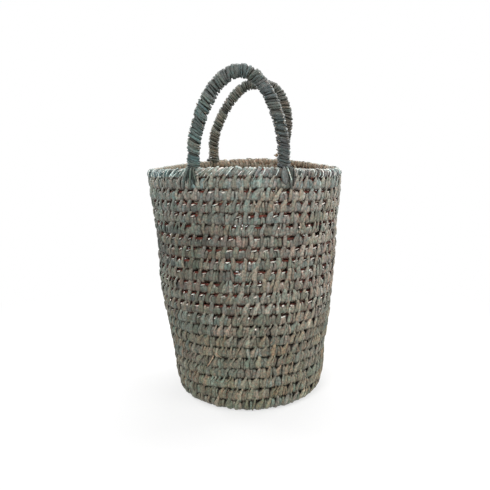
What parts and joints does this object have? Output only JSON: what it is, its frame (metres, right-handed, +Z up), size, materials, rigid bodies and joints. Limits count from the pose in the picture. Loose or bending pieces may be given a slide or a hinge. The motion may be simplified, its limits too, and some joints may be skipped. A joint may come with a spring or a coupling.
{
  "type": "palm leaf basket",
  "caption": "Tall round basket of coiled palm leaf, slightly flared to an open mouth, with an upright wrapped rope handle at the front and another at the back.",
  "frame": {"origin": "on the floor, under the middle of the mouth", "axes": "+Z up out of the mouth, -Y towards the front handle, +Y towards the back handle, +X to the right as seen from the front"},
  "size_m": [0.2952, 0.2944, 0.4943],
  "materials": {
    "base_leaf": "dry matte palm leaf, olive",
    "wall_leaf": "dry matte palm leaf, sage and grey-green with tan strips",
    "rim_leaf": "dry matte palm leaf, grey-green and tan",
    "handle_leaf": "dry matte palm leaf, blue-grey green",
    "core_leaf": "dry matte bundled leaf, brown",
    "lashing_leaf": "dry matte palm leaf, grey-green and tan"
  },
  "bodies": {
    "basket": {"base_start_knot": "base_leaf", "base_coil": "base_leaf", "wall_coil": "wall_leaf", "rim_coil": "rim_leaf", "front_left_lashing": "lashing_leaf", "front_right_lashing": "lashing_leaf", "back_left_lashing": "lashing_leaf", "back_right_lashing": "lashing_leaf"},
    "front_handle": {"front_handle_core": "core_leaf", "front_handle_wrap": "handle_leaf"},
    "back_handle": {"back_handle_core": "core_leaf", "back_handle_wrap": "handle_leaf"}
  },
  "joints": [
    {"name": "front_handle_flex", "type": "hinge", "parent": "basket", "child": "front_handle", "pos_m": [0, -0.12767, 0.36601], "axis": [1, 0, 0], "range_deg": [-35, 25], "stiffness_Nm_per_rad": 0.5},
    {"name": "back_handle_flex", "type": "hinge", "parent": "basket", "child": "back_handle", "pos_m": [0, 0.12767, 0.36601], "axis": [1, 0, 0], "range_deg": [-25, 35], "stiffness_Nm_per_rad": 0.5}
  ]
}
